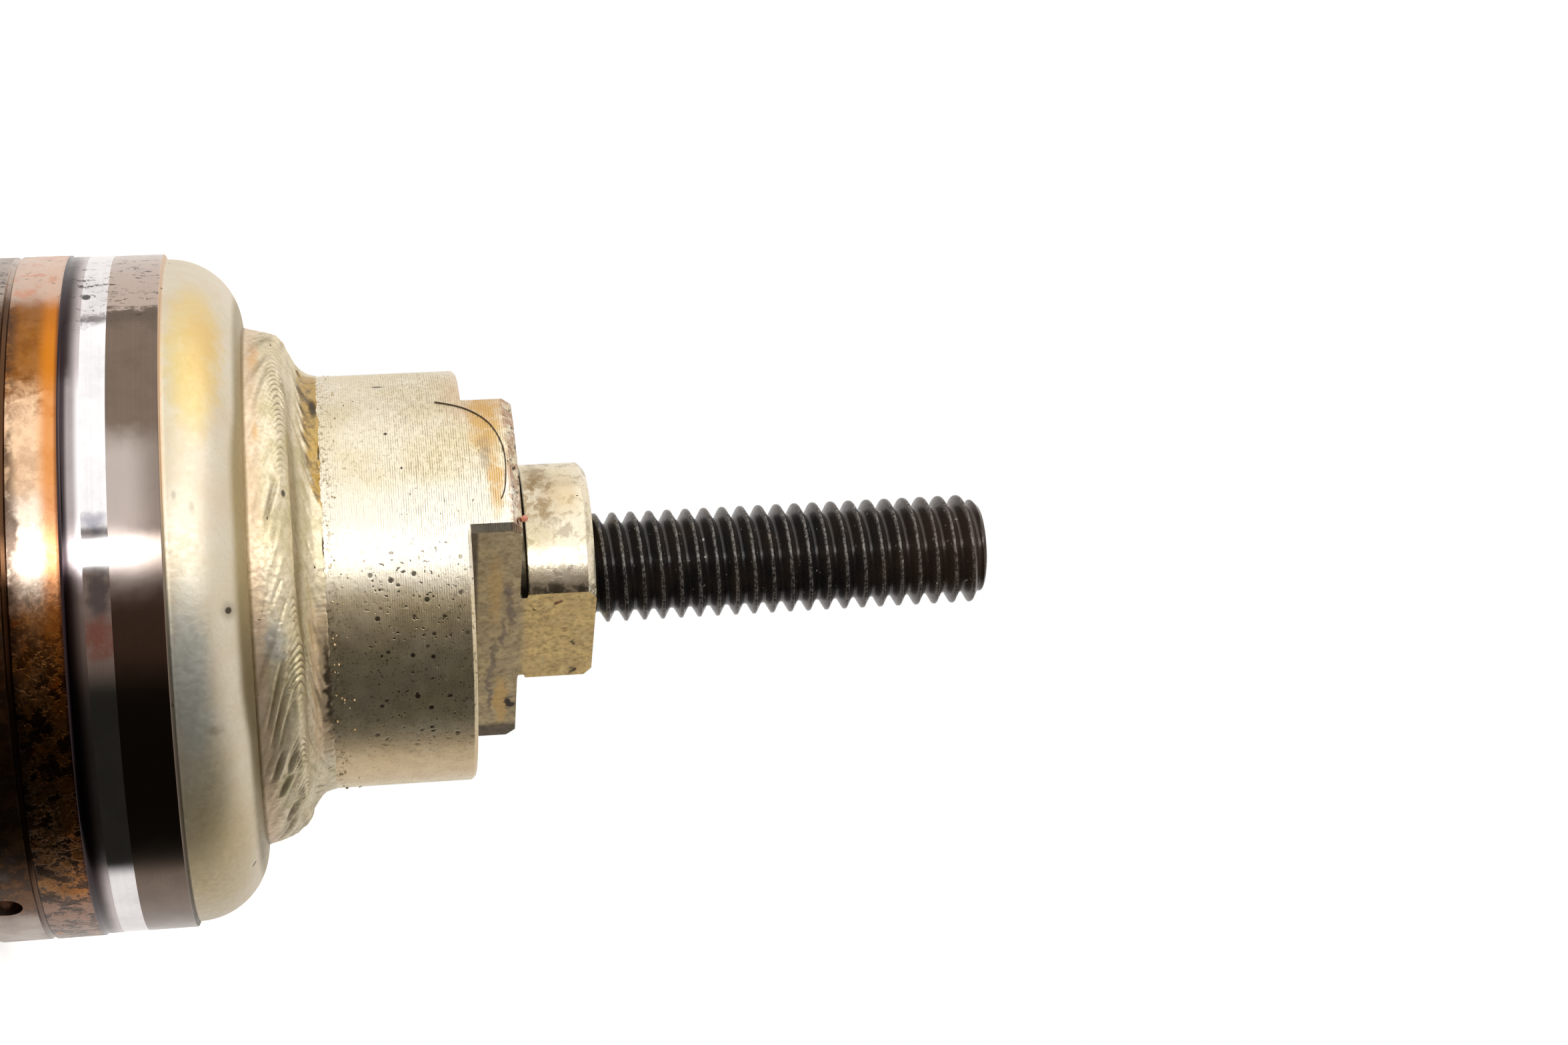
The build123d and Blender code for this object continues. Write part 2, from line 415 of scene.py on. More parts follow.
def make_flat_plating():
    m = Finish("plated_milled_flat", Metallic=0.7)
    slow = m.noise(m.ragged, 0.9, 4, 0.6, 0.6)
    fine = m.noise(m.p, 3.4, 4, 0.65)
    spigot = m.remap(m.z, 27.7, 28.4)
    tongue_tone = m.mix(m.remap(slow, 0.35, 0.65), 0xD0BC92, 0xB6A482)
    spigot_tone = m.mix(m.remap(slow, 0.35, 0.65), 0xF6D992, 0xE0C288)
    m.base = m.mix(spigot, tongue_tone, spigot_tone)
    m.lay(0x8A7654, m.remap(fine, 0.42, 0.72, 0, 0.5))
    light = m.both(m.remap(m.noise(m.ragged, 1.5, 4, 0.65), 0.58, 0.68), m.both(spigot, 0.5))
    m.lay(0xEEDEAA, light)
    gold = m.any_of(
        m.both(m.flat_mark(6.2, 26.95, 2.2, 0.36, 0.35), 0.75),
        m.both(m.flat_mark(-4.4, 26.5, 3, 0.35, 0.5), 0.45),
    )
    m.lay(0xE0BA74, gold)
    band = m.any_of(
        m.flat_mark(-4.3, 27.2, 0.9, 0.16, 0.4), m.flat_mark(-2.6, 27.38, 1.3, 0.16, 0.4),
        m.flat_mark(-0.4, 26.95, 1.2, 0.17, 0.4), m.flat_mark(2, 26.5, 1.8, 0.17, 0.4),
        m.flat_mark(5, 26.32, 2.2, 0.14, 0.4),
    )
    m.lay(0x7A6C64, band, 0.6)
    # Painted shade: darker along the flat's edge by the boss's shoulder. The flat is also darker towards its
    # +Y end.
    corner = m.both(m.remap(m.z, 25.66, 25.46), m.remap(m.z, 28, 27))
    low_end = m.both(m.remap(m.y, 8.3, 8.9), m.remap(m.z, 28, 27.7))
    m.lay(0x524840, m.any_of(corner, low_end), 0.8)
    red = m.any_of(
        m.flat_mark(-3.08, 29.78, 0.24, 0.17, 0.4), m.both(m.flat_mark(-0.6, 30.2, 0.2, 0.16, 0.5), 0.5),
    )
    m.lay(0x763422, red, 0.85)
    dark = m.any_of(
        m.both(m.flat_mark(0.73, 30.76, 0.26, 0.13, 0.5), 0.8),
        m.both(m.flat_mark(3.5, 30.76, 0.34, 0.2, 0.5), 0.9),
        m.both(m.flat_mark(-2.58, 28.47, 0.14, 0.1, 0.5), 0.8), m.flat_mark(6.5, 27.38, 0.55, 0.25, 0.4),
        m.both(m.remap(m.noise(m.ragged, 1.9, 5, 0.7), 0.63, 0.7), 0.55),
    )
    m.lay(0x3E3222, dark)
    rough = m.remap(fine, 0.3, 0.7, 0.42, 0.56)
    return m.finished(rough, fine, 0.012)


def make_spigot_plating():
    m = Finish("plated_spigot", Metallic=0.9)
    lay_plating(m)
    mottle = m.noise(m.ragged, 1.5, 5, 0.68)
    m.lay(0x94846C, m.remap(mottle, 0.5, 0.62, 0, 0.55))
    patch = m.both(m.mark(46, SPIGOT_R, 29, 2.6, 0.95, 0.6), m.remap(mottle, 0.4, 0.54, 0.45, 1))
    m.lay(0xCEB078, m.mark(45, SPIGOT_R, 30.4, 1.4, 0.8, 0.7), 0.5)
    low = m.both(m.near(-16, 9), m.remap(mottle, 0.38, 0.54))
    m.lay(0x8C6E3E, patch, 0.75)
    m.lay(0x423A2A, low, 0.85)
    # Painted shade: near black down in the neck groove.
    crevice_shade = m.both(m.remap(m.z, 28.36, 28.22), 0.9)
    m.lay(0x1E1A16, crevice_shade)
    pits = m.pits(2.4, 0.1, 0.18)
    m.lay(0x30261A, pits)
    rough = m.remap(mottle, 0.3, 0.7, 0.16, 0.34)
    return m.finished(rough, m.math("SUBTRACT", mottle, pits), 0.012)


def make_shoulder_plating():
    m = Finish("plated_shoulder", Metallic=0.76)
    lay_plating(m)
    cloud = m.noise(m.ragged, 0.5, 4, 0.6)
    m.lay(0xBEB6A4, 0.45)
    m.lay(0xD6C2A8, m.remap(cloud, 0.4, 0.7, 0, 0.5))
    stain = m.both(m.mark(45, 17, 12.1, 5, 1.25, 0.35), m.remap(cloud, 0.25, 0.5, 0.55, 1))
    m.lay(0xE2C67A, stain, 0.6)
    ochre = m.both(m.mark(45, 16.7, 12.4, 3, 0.8, 0.7), m.remap(cloud, 0.3, 0.5, 0.5, 1))
    m.lay(0xD6B264, ochre, 0.5)
    olive = m.any_of(m.mark(38, 17.3, 11.4, 3.4, 0.65, 0.6), m.mark(30, 17, 12, 1.4, 0.5, 0.6))
    m.lay(0xCCB872, olive, m.remap(cloud, 0.3, 0.6, 0.4, 1), 0.4)
    m.lay(0xBAC2BE, m.mark(-14, 17.2, 11.3, 4, 0.85, 0.6), 0.6)
    m.lay(0xBAA670, m.mark(-50, 16.8, 11.8, 5.5, 2, 0.6), 0.6)
    soft = m.any_of(
        m.mark(15.7, 17.6, 11.03, 0.2, 0.1, 0.7, False), m.mark(13.8, 17.3, 11.82, 0.26, 0.13, 0.7, False),
    )
    m.lay(0x6E645C, soft, 0.35)
    pits = m.any_of(
        m.pits(0.8, 0.07, 0.09), m.mark(-3.2, 16.3, 13.27, 0.16, 0.14, 0.25, False),
        m.mark(-62, 15.8, 13.6, 0.11, 0.1, 0.25, False),
    )
    smudge = m.any_of(m.mark(-23, 17, 12.3, 0.3, 0.3, 0.8), m.mark(-3.2, 16.3, 13.27, 0.4, 0.3, 0.6, False))
    m.lay(0x70604E, smudge, 0.4)
    edge = m.remap(m.z, 10.62, 10.52)
    m.lay(0xC48A54, edge, m.near(50, 40), 0.45)
    # Painted shade: the same edge is laid dark over the lower side.
    m.lay(0x42382C, edge, m.near(-50, 55), 0.9)
    radius = m.radius()
    # Painted shadow of the weld: olive darkening where the shoulder turns into the front face, darker still
    # on the lower side.
    crease = m.remap(m.math("SUBTRACT", radius, m.both(m.near(3, 26), 0.4)), 15.6, 14.95)
    m.lay(m.mix(m.near(-40, 30), 0x96865C, 0x76663E), crease, 0.85)
    m.lay(0x32241A, pits, 0.9)
    grain = m.noise(m.p, 3.6, 4, 0.6)
    rough = m.remap(grain, 0.3, 0.7, 0.36, 0.48)
    height = m.math("SUBTRACT", grain, m.both(pits, 2))
    return m.finished(rough, height, 0.01)


def make_weld_finish():
    m = Finish("plated_weld", Metallic=0.68)
    # The furrow attribute holds how much painted shade lies in the bead's furrows and hollows.
    depth = m.attribute("furrow")
    brown = m.attribute("browned")
    lay_plating(m)
    m.lay(0xD2C29C, 0.45)
    fine = m.noise(m.p, 4, 4, 0.65)
    m.lay(0xB09C70, m.remap(fine, 0.42, 0.7, 0, 0.45))
    cloud = m.noise(m.ragged, 0.7, 4, 0.6)
    m.lay(0xBAB288, m.remap(cloud, 0.45, 0.62, 0, 0.45))
    left = m.both(m.remap(m.z, 15.3, 14.6), m.remap(cloud, 0.3, 0.5, 0.5, 1))
    m.lay(0xE0BCA0, left, 0.45)
    orange = m.any_of(
        m.mark(35, 13.55, 14.8, 0.5, 0.14, 0.6, False), m.mark(60, 13.5, 14.8, 1.3, 0.25, 0.6),
    )
    m.lay(0xDCAA64, orange, 0.5)
    right = m.both(m.remap(m.z, 16.75, 17.15), m.near(-27, 22))
    m.lay(0xD4B084, right, 0.5)
    m.lay(0xB6BCBE, m.mark(-11.6, 12.9, 15.28, 1, 0.5, 0.6), 0.5)
    burnt = m.remap(m.noise(m.stretched(m.ragged, 1, 1, 1.7), 1.5, 5, 0.7), 0.5, 0.62)
    # Painted shade: the browned part goes darker down in the furrows.
    tint = m.mix(m.any_of(m.remap(depth, 0, 0.45), m.both(burnt, 0.8)), 0xB08E42, 0x4E381A)
    m.lay(tint, brown, m.remap(cloud, 0.3, 0.55, 0.98, 0.8))
    # Painted shade: darker down in the furrows, the ripples and the hollow beside the tips.
    m.lay(0x685430, depth, 0.75)
    # Painted shade: darker at the foot, in the crease against the barrel's front face.
    foot = m.remap(m.z, 14.42, 14.24)
    m.lay(0x7C6840, foot, 0.85)
    # Dark marks along the boss side of the toe: painted shade under the toe, and a few dark slits.
    toe_slits_and_shade = m.any_of(
        m.mark(54.5, 11.1, 17.65, 0.75, 0.2, 0.4, False), m.mark(37, 11.05, 17.85, 0.4, 0.06, 0.4, False),
        m.mark(-29, 11.1, 17.8, 2.7, 0.2, 0.5), m.mark(10, 11.05, 17.85, 0.5, 0.06, 0.4, False),
        m.mark(-140, 11.2, 17.7, 2, 0.2, 0.4), m.mark(150, 11.2, 17.7, 1.6, 0.2, 0.4),
        m.mark(20.8, 12.7, 16.05, 0.18, 0.1, 0.4, False),
    )
    pits = m.pits(2, 0.08, 0.16)
    m.lay(0x342A1C, m.any_of(m.both(toe_slits_and_shade, 0.88), pits))
    return m.finished(m.remap(fine, 0.3, 0.7, 0.35, 0.5), m.math("SUBTRACT", fine, pits), 0.015)


def make_rust():
    m = Finish("rusted_steel", Metallic=1)
    streaks = m.noise(m.stretched(m.ragged, 0.6, 0.6, 1), 1, 6, 0.65)
    fine = m.noise(m.p, 4.5, 5, 0.7)
    m.base = m.mix(m.remap(streaks, 0.32, 0.62), 0xC6802E, 0xD8A068)
    # Painted highlight: paler round the band where the lamps are reflected.
    m.lay(0xFDDAB6, m.near(18, 17), 0.85)
    m.lay(0xFEF0E0, m.near(8, 8), 0.7)
    patches = m.noise(m.ragged, 0.9, 6, 0.68)
    mottle = m.remap(m.math("ADD", patches, m.remap(m.z, 5, 3.6, 0, 0.07)), 0.42, 0.72)
    m.lay(0x764828, mottle, m.any_of(m.near(50, 20), m.both(m.near(16, 22), 0.4), m.near(180, 100)))
    # Painted shade: a darker band along the top side.
    m.lay(0x88521C, m.near(50, 14), 0.8)
    below = m.near(-48, 43)
    # Painted shade: the lower side is laid dark.
    m.lay(0x4A2E1C, below, m.remap(fine, 0.3, 0.62, 0.9, 0.5))
    right = m.both(m.remap(m.z, 4.6, 5.3), m.remap(below, 0, 1, 1, 0.4))
    m.lay(0xDA8220, right, 0.75)
    # Painted shade: darker purple-brown along the edge beside the groove.
    rim = m.remap(m.z, 5.5, 5.68)
    m.lay(0x683824, rim, 0.7)
    left = m.both(m.remap(m.z, 4, 3.4), m.remap(m.noise(m.ragged, 0.6, 5, 0.65), 0.38, 0.54))
    blob = m.mark(10.7, COLLAR_R, 3.5, 1.2, 0.42, 0.4)
    m.lay(0x4E382A, m.any_of(left, blob), 0.85)
    # Painted reflection of the pale surroundings: pale pink along the top edge.
    above = m.near(68, 12)
    m.lay(0xDEC4B2, above, 0.85)
    m.lay(0xD68460, above, m.remap(m.noise(m.ragged, 0.9, 4, 0.6), 0.52, 0.62), 0.5)
    # Painted reflection of the pale surroundings, dimmer, along the bottom edge.
    under = m.near(-68, 11)
    m.lay(0x947464, under, 0.85)
    m.lay(0xD67626, m.pits(1, 0.34, 0.3), below, 0.75)
    blotches = m.both(m.remap(m.noise(m.ragged, 1.1, 5, 0.7), 0.47, 0.56), below)
    m.lay(0x241810, blotches, 0.85)
    specks = m.both(m.remap(m.noise(m.p, 2.6, 5, 0.75), 0.6, 0.66), m.any_of(above, under))
    m.lay(0x3C322E, specks, 0.8)
    height = m.math("SUBTRACT", m.math("ADD", fine, streaks), m.both(m.any_of(blotches, specks), 1.2))
    height = m.both(height, m.any_of(m.remap(m.near(30, 34), 0, 1, 1, 0.3), 0.3))
    return m.finished(m.remap(fine, 0.3, 0.7, 0.22, 0.31), height, 0.006)


def shaded(colour, share):
    """A linear colour from a screen one, with its light cut to a share of it."""
    return tuple(c * share for c in rgb(colour)[:3]) + (1,)


def bare_steel(name, colour, low, high, line_depth, line_spacing, pit_share):
    """Bare steel, ground or polished round the axis. low and high bound its roughness."""
    m = Finish(name, Metallic=1)
    lines = m.turned_lines(line_spacing)
    slow = m.noise(m.ragged, 0.5, 4, 0.6)
    m.base = m.mix(m.remap(slow, 0.35, 0.7), colour, shaded(colour, 0.85))
    m.lay(shaded(colour, 0.7), m.remap(lines, 0.4, 0.7, 0, 0.2))
    worn = m.any_of(m.near(77, 25), m.both(m.near(-178, 60), 0.4))
    scratches = m.noise(m.stretched(m.ragged, 1, 1, 0.16), 5, 4, 0.6)
    scratch = m.both(m.remap(scratches, 0.585, 0.625), m.remap(slow, 0.40, 0.50, 0.35, 1), worn)
    pits = m.both(m.pits(1.5, pit_share, 0.2, (1, 1, 0.6)), worn)
    m.marks = m.any_of(scratch, pits, m.mark(56.8, BARREL_R, 6.92, 0.27, 0.22, 0.25, False))
    height = m.math("SUBTRACT", lines, m.both(m.marks, 2))
    m.set(Roughness=m.remap(slow, 0.3, 0.7, low, high), Normal=m.bump(height, line_depth))
    return m


def dark_marked(m):
    """The finished steel, with the dark marks laid over its colour."""
    m.lay(0x241E1C, m.marks, 0.9)
    m.set(Base_Color=m.base)
    return m.material


def make_collar_steel():
    m = bare_steel("turned_collar", 0xC4B8AE, 0.26, 0.38, 0.010, 0.14, 0.3)
    blotch = m.noise(m.ragged, 0.8, 5, 0.65)
    # Dark brown blotches over the collar, fading towards the top and bottom edges and the back.
    top_bottom_and_back = m.any_of(m.near(74, 18), m.near(-76, 14), m.near(-178, 50))
    dark_brown_tone = m.mix(m.remap(blotch, 0.42, 0.58), 0x422E20, 0x704E32)
    m.lay(dark_brown_tone, m.remap(top_bottom_and_back, 0, 1, 1, 0.25), m.remap(blotch, 0.3, 0.5, 0.85, 1))
    return dark_marked(m)


def make_groove_steel():
    m = bare_steel("grooved_steel", 0xB0A6A6, 0.16, 0.24, 0.006, 0.1, 0.2)
    lit = m.near(21, 15)
    # Painted highlight: the bevel is laid near white where the lamps are reflected.
    m.lay(m.mix(lit, 0xC8BEBE, 0xF6F2F4), m.remap(m.z, 6.35, 6.75))
    # Painted shade: darker below the bevel, except where the lamps are reflected.
    m.lay(0x463C3A, m.remap(m.z, 6.6, 6.1), m.remap(lit, 0, 1, 1, 0.15))
    # Painted shade: dark down in the groove.
    m.lay(0x302428, m.remap(m.z, 6.2, 5.97, 0, 0.9))
    # Painted shade in the groove by the collar, with a painted reflection making it paler along the top
    # edge.
    m.lay(m.mix(m.near(76, 16), 0x5C402A, 0xBAA696), m.remap(m.z, 4.2, 4, 0, 0.9))
    return dark_marked(m)


def make_track_steel():
    m = bare_steel("polished_track", 0xF4F2F4, 0.07, 0.10, 0.0006, 0.08, 0.2)
    cloud = m.noise(m.ragged, 1.2, 4, 0.65)
    smudge = m.mark(50, BARREL_R, 7.2, 0.45, 0.9, 0.5)
    m.lay(0x807676, smudge, m.remap(cloud, 0.36, 0.56), 0.7)
    # Painted reflections in the polished track: blue-grey patches facing the camera.
    spot = m.mark(11.5, BARREL_R, 7.25, 0.45, 0.55, 0.7)
    m.lay(0x686C84, m.any_of(spot, m.mark(0.5, BARREL_R, 7.4, 1.1, 0.5, 0.4)), 0.6)
    # Painted reflection: a red patch facing the camera.
    red = m.mark(-6.2, BARREL_R, 7.35, 0.95, 1, 0.5)
    m.lay(0xE2846E, red, m.remap(cloud, 0.3, 0.6, 0.4, 1), 0.7)
    return dark_marked(m)


def make_ground_steel():
    m = bare_steel("ground_journal", 0x76665A, 0.15, 0.21, 0.005, 0.07, 0.3)
    # Painted highlight: paler round the band where the narrow lamp is reflected.
    m.lay(0xDACEC8, m.near(13, 12), m.remap(m.z, 10.4, 8.8, 0.3, 1), 0.55)
    # Painted reflection of the pale surroundings over the worn steel: paler towards the top and the back,
    # with a streaky edge.
    streaks = m.noise(m.stretched(m.p, 1, 1, 0.2), 4, 4, 0.6)
    for angle, half in ((85, 32), (-172, 84)):
        streaked = m.math("ADD", m.nearness(angle), m.both(streaks, 0.05))
        edge = cos(radians(half)) + 0.025
        m.lay(0xCEBCB0, m.remap(streaked, edge - 0.006, edge + 0.006, 0, 0.8))
    return dark_marked(m)


def make_black_oxide():
    m = Finish("black_oxide_thread", Metallic=0.3)
    fine = m.noise(m.p, 6, 4, 0.65)
    slow = m.noise(m.p, 0.6, 3, 0.6)
    m.base = m.mix(m.remap(slow, 0.4, 0.65), 0x22201F, 0x302822)
    m.lay(0x46362C, m.remap(m.z, 44, 53, 0, 0.5))
    radius = m.radius()
    worn = m.both(m.remap(radius, 2.86, 2.95), m.remap(fine, 0.42, 0.62))
    m.lay(0x847E78, worn, 0.6)
    speck = m.pits(3, 0.1, 0.2)
    m.lay(0xC4BEB4, speck, 0.7)
    return m.finished(m.remap(fine, 0.3, 0.7, 0.17, 0.34), fine, 0.008)


def make_hole_steel():
    m = Finish("dark_recess", Metallic=0.8)
    fine = m.noise(m.p, 3, 4, 0.6)
    m.set(Base_Color=m.mix(fine, 0x3C3630, 0x605850), Roughness=m.remap(fine, 0.3, 0.7, 0.4, 0.6))
    return m.material


# Meshes
SEGMENTS = 480
CREASE = 34                   # degrees between faces from which an edge is sharp
JOIN_DISTANCE = 1e-7          # metres within which points are joined


def smooth(mesh, crease):
    mesh.shade_smooth()
    mesh.set_sharp_from_angle(angle=radians(crease))


def finish_mesh(name, bm, materials, crease=CREASE):
    bmesh.ops.remove_doubles(bm, verts=bm.verts, dist=JOIN_DISTANCE)
    bmesh.ops.dissolve_degenerate(bm, edges=bm.edges, dist=JOIN_DISTANCE)
    bmesh.ops.recalc_face_normals(bm, faces=bm.faces)
    mesh = mesh_of(name, bm)
    for material in materials:
        mesh.materials.append(material)
    smooth(mesh, crease)
    return add_object(name, mesh)


def skin(bm, rings, slots):
    """Quads between rings of points, with a fan over the first and the last ring."""
    made = [[bm.verts.new(p) for p in ring] for ring in rings]
    count = len(rings[0])
    for low, high, slot in zip(made, made[1:], slots):
        for i in range(count):
            j = (i + 1) % count
            bm.faces.new((low[i], low[j], high[j], high[i])).material_index = slot
    for ring in (made[0], made[-1]):
        centre = bm.verts.new(sum((v.co for v in ring), Vector()) / count)
        for i in range(count):
            bm.faces.new((ring[i], ring[(i + 1) % count], centre))


def circle(radius, height):
    angles = [2 * pi * i / SEGMENTS for i in range(SEGMENTS)]
    return [Vector((radius * cos(a), radius * sin(a), height)) * MM for a in angles]


COLLAR, RUST, GROOVE, TRACK, GROUND, PLATED = range(6)


def barrel_profile():
    """(radius, height, finish of the surface up to here) from the plain end to the front face."""
    corner = [pi / 2 * k / 32 for k in range(1, 33)]
    runs = [
        (COLLAR, [(17.3, 0.0), (17.62, 0.22), (17.76, 0.42), (COLLAR_R, 0.6), (COLLAR_R, 2.96)]),
        (GROOVE, [(17.7, 3.04), (17.68, 3.15), (17.7, 3.24)]),
        (RUST, [(17.79, 3.32)] + [(COLLAR_R, 3.32 + 2.38 * k / 24) for k in range(1, 25)]),
        (GROOVE, [(17.73, 5.76), (17.69, 5.85), (17.72, 5.96), (17.715, 6.1), (BARREL_R, 6.72)]),
        (TRACK, [(BARREL_R, 7.95)]),
        (GROUND, [(BARREL_R, 10.38), (17.67, 10.42)]),
        (PLATED, [(17.46, 10.5), (17.42, 10.56)]),
        (PLATED, [(13.77 + 3.65 * cos(a), 10.55 + 3.65 * sin(a)) for a in corner]),
        (PLATED, [(12.6, BARREL_LENGTH), (10.0, BARREL_LENGTH)]),
    ]
    return [(r, z, finish) for finish, places in runs for r, z in places]


RUST_BITE = 0.022             # how deep the rust's pits go, for noise of height 1
LIT_ANGLE = 32                # they are shallower round this angle, by CALMER
CALMER = 0.018


def make_barrel(materials):
    bm = bmesh.new()
    points = barrel_profile()
    rings = []
    for r, z, kind in points:
        ring = circle(r, z)
        if kind == RUST and 3.4 < z < 5.6:
            for i, p in enumerate(ring):
                bite = max(0.0, noise.fractal(p * 900, 0.8, 2.1, 4))
                outwards = Vector((p.x, p.y, 0)).normalized()
                calm = ease(outwards.dot(heading(LIT_ANGLE)), 0.70, 0.92)
                ring[i] = p - outwards * bite * (RUST_BITE - CALMER * calm) * MM
        rings.append(ring)
    skin(bm, rings, [kind for _, _, kind in points[1:]])
    piece = finish_mesh("barrel_dressed", bm, materials)
    cut_dimple(piece)
    return piece


def cut_dimple(piece):
    bm = bmesh.new()
    radius = DIMPLE_R * MM
    bmesh.ops.create_cone(bm, cap_ends=True, segments=64, radius1=radius, radius2=radius, depth=2 * MM)
    middle = Vector((COLLAR_R - DIMPLE_DEPTH + 1, 0, DIMPLE_HEIGHT)) * MM
    turn = Matrix.Rotation(radians(DIMPLE_ANGLE), 4, "Z")
    place = turn @ Matrix.Translation(middle) @ Matrix.Rotation(pi / 2, 4, "Y")
    bmesh.ops.transform(bm, matrix=place, verts=bm.verts)
    cutter = add_object("dimple_cutter", mesh_of("dimple_cutter", bm))
    cut = piece.modifiers.new("dimple", "BOOLEAN")
    cut.operation = "DIFFERENCE"
    cut.solver = "EXACT"
    cut.object = cutter
    drilled = evaluated_mesh(piece)
    piece.modifiers.clear()
    piece.data = drilled
    bpy.data.objects.remove(cutter)
    smooth(drilled, CREASE)


ARC_POINTS = 130
FLAT_POINTS = 40


def two_flats(radius, height, edge=0.0):
    """A ring round the boss, cut by the two flats, with the corners taken off by edge."""
    half = sqrt(max(radius**2 - FLAT_X**2, 1e-9))
    corner = acos(min(FLAT_X / radius, 1.0))
    arc_start = corner + edge / radius
    points = []
    for side in (1, -1):
        for k in range(FLAT_POINTS + 1):
            points.append((side * FLAT_X, side * (half - edge) * (2 * k / FLAT_POINTS - 1)))
        for k in range(ARC_POINTS + 1):
            a = arc_start + (pi - 2 * arc_start) * k / ARC_POINTS
            points.append((side * radius * cos(a), side * radius * sin(a)))
    return [Vector((x, y, height)) * MM for x, y in points]


BOSS, FLAT, SPIGOT, HOLE = range(4)


def make_boss(materials):
    bm = bmesh.new()
    pattern = two_flats(BOSS_R, 0, FLAT_EDGE)
    on_flat = [abs(abs(p.x) / MM - FLAT_X) < 1e-4 for p in pattern]

    def round_ring(radius, flat_side_radius, height):
        """A circle whose points fall in step with the flats above it."""
        ring = []
        for p, flat in zip(pattern, on_flat):
            a = atan2(p.y, p.x)
            r = flat_side_radius if flat else radius
            ring.append(Vector((r * cos(a), r * sin(a), height)) * MM)
        return ring

    root = ((WELD_ROOT_R, 14.25), (WELD_ROOT_R, BOSS_START), (BOSS_R, BOSS_START))
    body = [(r, r, z) for r, z in root]
    edge = BOSS_SHOULDER - BOSS_EDGE
    body += [(BOSS_R, BOSS_R, BOSS_START + (edge - BOSS_START) * k / 30) for k in range(1, 31)]
    body += [(BOSS_R, BOSS_R - 0.02, edge + 0.03), (BOSS_R, BOSS_R - 0.17, edge + 0.19)]
    body += [(BOSS_R, BOSS_R - BOSS_EDGE, BOSS_SHOULDER)]
    rings = [round_ring(*place) for place in body]
    front = [(BOSS_R, z) for z in (BOSS_SHOULDER, 26.0, 26.7, 27.27)]
    front += [(10.93, 27.33), (10.48, 27.78), (10.42, TONGUE_END)]
    rings += [two_flats(r, z, FLAT_EDGE) for r, z in front]
    inner = [(6.4, TONGUE_END), (5.9, TONGUE_END), (NECK_R + 0.05, 27.83), (NECK_R, 27.9), (NECK_R, 28.12)]
    inner += [(5.62, 28.18), (5.74, 28.2)] + [(SPIGOT_R, z) for z in (28.26, 29.4, 30.6, 31.36)]
    inner += [(5.76, 31.44), (5.46, 31.74), (5.38, SPIGOT_END)]
    rings += [two_flats(r, z) for r, z in inner]
    hole = [(3.4, SPIGOT_END), (HOLE_R + 0.12, SPIGOT_END), (HOLE_R, 31.7), (HOLE_R, 28.0)]
    last = rings[-1]
    rings += [[p.xy.normalized().to_3d() * r * MM + Vector((0, 0, z * MM)) for p in last] for r, z in hole]
    skin(bm, rings, [BOSS] * (len(body) + len(front)) + [SPIGOT] * (len(inner) + 1) + [HOLE] * 2)
    bm.normal_update()
    for face in bm.faces:
        centre = face.calc_center_median() / MM
        if abs(face.normal.x) > 0.99 and abs(abs(centre.x) - FLAT_X) < 0.01 and centre.z > BOSS_SHOULDER:
            face.material_index = FLAT
    return finish_mesh("drive_boss_dressed", bm, materials, 26)


WELD_OUTLINE = [
    (13.72, WELD_FOOT), (13.68, 14.3), (13.6, 14.6), (13.5, 15.0), (13.36, 15.4), (13.14, 15.8),
    (12.76, 16.2), (12.2, 16.55), (11.66, 16.85), (11.3, 17.12), (11.12, 17.36), (11.03, 17.62),
    (10.97, 17.85), (10.9, 17.95),
]


def spread(outline, count):
    """count points evenly spaced along a run of points."""
    lengths = [0.0]
    for a, b in zip(outline, outline[1:]):
        lengths.append(lengths[-1] + hypot(b[0] - a[0], b[1] - a[1]))
    result = []
    for k in range(count):
        want = lengths[-1] * k / (count - 1)
        i = max(j for j in range(len(lengths) - 1) if lengths[j] <= want + 1e-12)
        t = (want - lengths[i]) / (lengths[i + 1] - lengths[i])
        a, b = outline[i], outline[i + 1]
        result.append((a[0] + (b[0] - a[0]) * t, a[1] + (b[1] - a[1]) * t))
    return result


RIPPLE_SPACING = 0.40
RIPPLE_LEAN = 2.6            # how far the legs of a ripple trail behind its tip, per mm to the side
TIP_ROUNDING = 0.45
BEAD_GIRTH = 5.12            # across the bead, from toe to toe
BEAD_RADIUS = 12.6           # where lengths along the bead are measured
RIPPLE_HEIGHT = 0.11
STREAK_HEIGHT = 0.042
GRAIN_HEIGHT = 0.022
SWELL_HEIGHT = 0.07
GULLY_DEPTH = 0.13
BACK_FURROWS = 38
BEAD_COLUMNS = 1500
BEAD_ROWS = 62
# Where the ripples' tips run: (angle, share of the way across from the barrel's toe to the boss's)
TIP_LINE = [
    (-180, 0.5), (-130, 0.42), (-95, 0.56), (-57, 0.495), (-41, 0.475), (-22, 0.5), (-10, 0.517),
    (3, 0.478), (12, 0.485), (20, 0.44), (29, 0.41), (39, 0.44), (52, 0.376), (66, 0.35), (100, 0.45),
    (140, 0.55), (180, 0.5),
]
# Where the ripples stand out: (angle, half width in degrees, strength)
CLEAR_RIPPLES = [
    (48, 12, 1.0), (31, 5, 0.5), (-18.5, 6, 1.25), (-40.5, 4, 1.1), (-54.5, 4, 1.0), (-4, 4, 0.4),
    (80, 10, 0.9), (104, 8, 1.0), (126, 9, 0.9), (150, 8, 0.9), (170, 6, 1.0), (-75, 7, 0.9), (-98, 8, 1.0),
    (-122, 8, 0.9), (-148, 8, 0.9), (-169, 6, 0.8),
]
